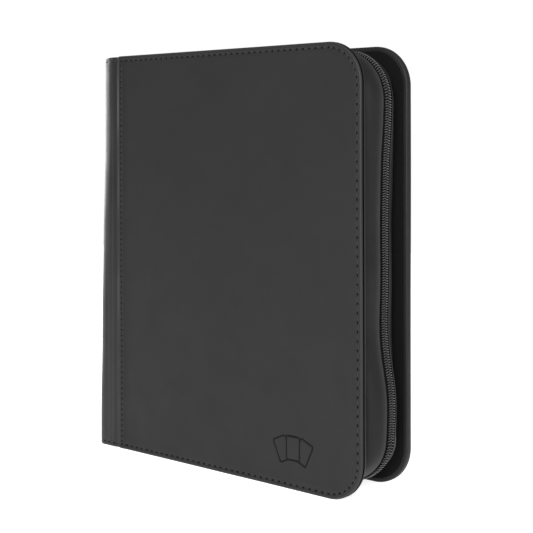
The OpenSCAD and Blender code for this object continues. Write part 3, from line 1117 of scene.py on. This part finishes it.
def binding_strip():
    """Moulded strip along the spine, with a groove for each leaf."""
    (x0, y0, z0), (x1, y1, z1) = box("page_binding")
    r = 0.8
    y = np.linspace(y0 + r, y1 - r, 8 * LEAF_COUNT)
    place = (y - leaf_y(1)) / (leaf_y(LEAF_COUNT) - leaf_y(1)) * (LEAF_COUNT - 1)
    groove = 0.3 * hump(place - np.round(place), 0.0, 0.22)
    turn = np.linspace(0.0, np.pi / 2, 5)
    low = np.stack([x1 - r + r * np.sin(turn), y0 + r - r * np.cos(turn)], 1)
    high = np.stack([x1 - r + r * np.cos(turn), y1 - r + r * np.sin(turn)], 1)
    face = np.stack([x1 - groove, y], 1)
    loop = np.concatenate([[[x0, y0]], low, face, high, [[x0, y1]]])
    middle = loop.mean(0)
    rows = [(0.97, z0), (1.0, z0 + 0.4), (1.0, z1 - 0.4), (0.97, z1)]
    s = Surface()
    plate(s, lambda share: middle + (loop - middle) * share, rows, along(Z))
    on_body(s, "binding_strip", [BINDING], "spine", "page_binding")


# ---- zip slider and pull ----

BEVEL = [(0.3, 0.0), (0.1, 0.06), (0.0, 0.2)]
LUG_T = 1.0


def slab(s, outline, low, high, place, crown=0.0):
    """A bevelled slab between two heights, crowned on top."""
    rows = [(d, low + h) for d, h in BEVEL] + [(d, high - h) for d, h in BEVEL[::-1]]
    if crown:
        rows += [(1.0, high + 0.6 * crown), (2.2, high + crown)]
    plate(s, outline, rows, place)


def slider_shell():
    """Top plate with a raised tongue, a lip over the back tape and two lugs for the pull."""
    (x0, y0, z0), (x1, y1, z1) = box("slider_body")
    base = z0 + 0.9
    pin_x = (x0 + x1) / 2
    body = rounded_rect(x0, x1, y0, y1, (1.4, 3.4, 3.4, 1.4))
    tongue = rounded_rect(x0 + 1.3, x1 - 1.6, -1.5, 1.5, 1.2)
    lip = rounded_rect(x0 + 0.8, x1 - 2.6, y1 - 1.5, y1, 0.5)
    lug = rounded_rect(pin_x - 1.2, pin_x + 1.2, base + 0.7, z1, (0.2, 1.15, 1.15, 0.2), 6)
    foot = rounded_rect(pin_x - 2.2, pin_x + 2.2, base + 0.6, base + 1.45, (0.1, 0.6, 0.6, 0.1), 6)
    s = Surface()
    slab(s, body, base, base + 1.0, along(Z), crown=0.15)
    slab(s, tongue, base + 0.8, base + 1.4, along(Z))
    slab(s, lip, z0, base + 0.5, along(Z))
    pin_low, pin_high = box("slider_pin")[:, Y]
    for y, outline in itertools.product((pin_low, pin_high - LUG_T), (lug, foot)):
        slab(s, outline, y, y + LUG_T, along(Y))
    on_body(s, "slider_shell", [METAL], "zip_slider", "slider_body")


def slider_rivet():
    """Pin between the lugs, with peened ends."""
    (x0, y0, z0), (x1, y1, z1) = box("slider_pin")
    head = [(0.45, 0.22), (0.2, 0.2), (-0.1, 0.1), (-0.12, -0.02), (0.0, -0.1)]
    rows = [(d, y0 - out) for d, out in head] + [(d, y1 + out) for d, out in head[::-1]]
    s = Surface()
    plate(s, disc((x0 + x1) / 2, (z0 + z1) / 2, (x1 - x0) / 2), rows, along(Y))
    on_body(s, "slider_rivet", [STEEL], "zip_slider", "slider_pin")


def pull_plate():
    """Flat pull with a rolled eye round the pin."""
    (x0, y0, z0), (x1, y1, z1) = box("pull_tab")
    eye_r, eye_half = (z1 - z0) / 2, 2.0
    eye_x, eye_z = x0 + eye_r, (z0 + z1) / 2
    turn = (np.arange(24) * 2 * np.pi / 24)[:, None]
    half = [(0.68, eye_half), (eye_r - 0.15, eye_half), (eye_r, eye_half - 0.15)]
    r, y = np.array([(r, -y) for r, y in half] + half[::-1]).T
    s = Surface()
    rings = s.add(xyz(eye_x + np.cos(turn) * r, y, eye_z + np.sin(turn) * r))
    s.quads(rings, close_u=True, close_v=True)
    neck = rounded_rect(eye_x + 0.85, eye_x + 4.0, -1.9, 1.9, 0.1)
    body = rounded_rect(eye_x + 2.6, x1, y0, y1, (1.6, 0.8, 0.8, 1.6))
    for outline in (neck, body):
        slab(s, outline, eye_z - 0.5, eye_z + 0.5, along(Z))
    on_body(s, "pull_plate", [METAL], "zip_pull", "pull_tab")


def pull_sleeve():
    """Moulded sleeve with a raised rim and cross ribs on both faces."""
    (x0, y0, z0), (x1, y1, z1) = box("pull_grip")
    mid, h = (z0 + z1) / 2, (z1 - z0) / 2
    half = [(0.0, 0.0), (0.0, 0.35), (0.12, 0.75), (0.4, 0.95), (0.8, 1.0), (1.1, 0.98),
            (1.3, 0.86), (1.6, 0.82)]
    rows = [(d, -share) for d, share in half[:0:-1]] + half
    rows = [(d, mid + share * h) for d, share in rows]
    s = Surface()
    plate(s, rounded_rect(x0, x1, y0, y1, (1.7, 3.6, 3.6, 1.7)), rows, along(Z))
    for k in range(5):
        rib_x = x0 + 3.0 + 1.9 * k
        rib = rounded_rect(rib_x, rib_x + 0.9, y0 + 2.0, y1 - 2.0, 0.3)
        slab(s, rib, mid - h, mid + h, along(Z))
    on_body(s, "pull_sleeve", [GRIP], "zip_pull", "pull_grip")


# ---- assembly ----

for side in SIDES:
    for make in (cover_panel, cover_stitches, spine_wrap, wrap_stitches, cover_lining,
                 hinge_lining, gusset, zip_tape, zip_coil, zip_stops):
        make(side)
for make in (spine_lining, binding_strip, slider_shell, slider_rivet, pull_plate, pull_sleeve):
    make()
for number in range(1, LEAF_COUNT + 1):
    pocket_leaf(number)

# ---- camera, lights and stage ----

CAMERA_AT = (0.45541, -0.5163, 0.18771)
CAMERA_DOWN, CAMERA_LEFT = 3.073, 40.3105  # degrees below the level, and round from +Y
LENS, SENSOR, SHIFT_Y = 80.09, 36.0, -0.11
FILL = 0.36           # light from the white surroundings
BACKDROP = 1.0        # how bright they look
GLOW = 0.85           # the floor's own light, so that it stays white
FLOOR = 1200.0        # half the floor's side, in millimetres
WHITE = (1.0, 1.0, 1.0, 1.0)


def add_camera():
    """The product view: from the front right, a little above the middle."""
    data = bpy.data.cameras.new("camera")
    data.lens, data.sensor_width, data.shift_y = LENS, SENSOR, SHIFT_Y
    camera = put("camera", data)
    camera.location = CAMERA_AT
    camera.rotation_euler = (math.radians(90.0 - CAMERA_DOWN), 0.0, math.radians(CAMERA_LEFT))
    bpy.context.scene.camera = camera


def add_area(name, at, target, size, power):
    """A rectangular lamp of some watts, turned towards a target; all sizes are in metres."""
    data = bpy.data.lights.new(name, "AREA")
    data.shape, data.size, data.size_y = "RECTANGLE", *size
    data.energy = power
    lamp = put(name, data)
    lamp.location = at
    lamp.rotation_euler = Vector(np.subtract(target, at)).to_track_quat("-Z", "Y").to_euler()


def add_floor():
    paper = Finish("floor_paper", Roughness=0.9, Specular_IOR_Level=0.1, Emission_Color=WHITE,
                   Emission_Strength=GLOW)
    paper.colour(paper.mix(paper.noise(3.0), grey(0.9, 1.0), grey(0.94, 1.0)))
    s = Surface()
    s.face(s.add([[x * FLOOR, y * FLOOR, 0.0] for x, y in ((-1, -1), (1, -1), (1, 1), (-1, 1))]))
    s.build("floor", [paper.material], closed=False)


def add_surroundings():
    """White all round; its light on the object is weaker than it looks."""
    world = bpy.data.worlds.new("studio")
    world.use_nodes = True
    tree = world.node_tree
    rays = tree.nodes.new("ShaderNodeLightPath")
    level = tree.nodes.new("ShaderNodeMapRange")
    level.inputs["To Min"].default_value = FILL
    level.inputs["To Max"].default_value = BACKDROP
    tree.links.new(rays.outputs["Is Camera Ray"], level.inputs["Value"])
    tree.links.new(level.outputs["Result"], tree.nodes["Background"].inputs["Strength"])
    tree.nodes["Background"].inputs["Color"].default_value = WHITE
    bpy.context.scene.world = world
    bpy.context.scene.view_settings.view_transform = "Standard"


def add_lamps():
    """Four soft lamps."""
    add_area("overhead", at=(0.0, 0.0, 2.2), target=(0.0, 0.0, 0.0), size=(3.0, 3.0), power=4.0)
    add_area("key", at=(-0.45, -1.5, 0.8), target=(0.0, 0.0, 0.12), size=(0.5, 0.8), power=0.5)
    add_area("right", at=(0.42, -0.5, 0.4), target=(0.12, 0.0, 0.13), size=(0.3, 0.4), power=5.2)
    add_area("side", at=(-1.2, 0.1, 0.25), target=(-0.1, 0.0, 0.12), size=(0.7, 0.9), power=11.0)


add_camera()
add_floor()
add_surroundings()
add_lamps()
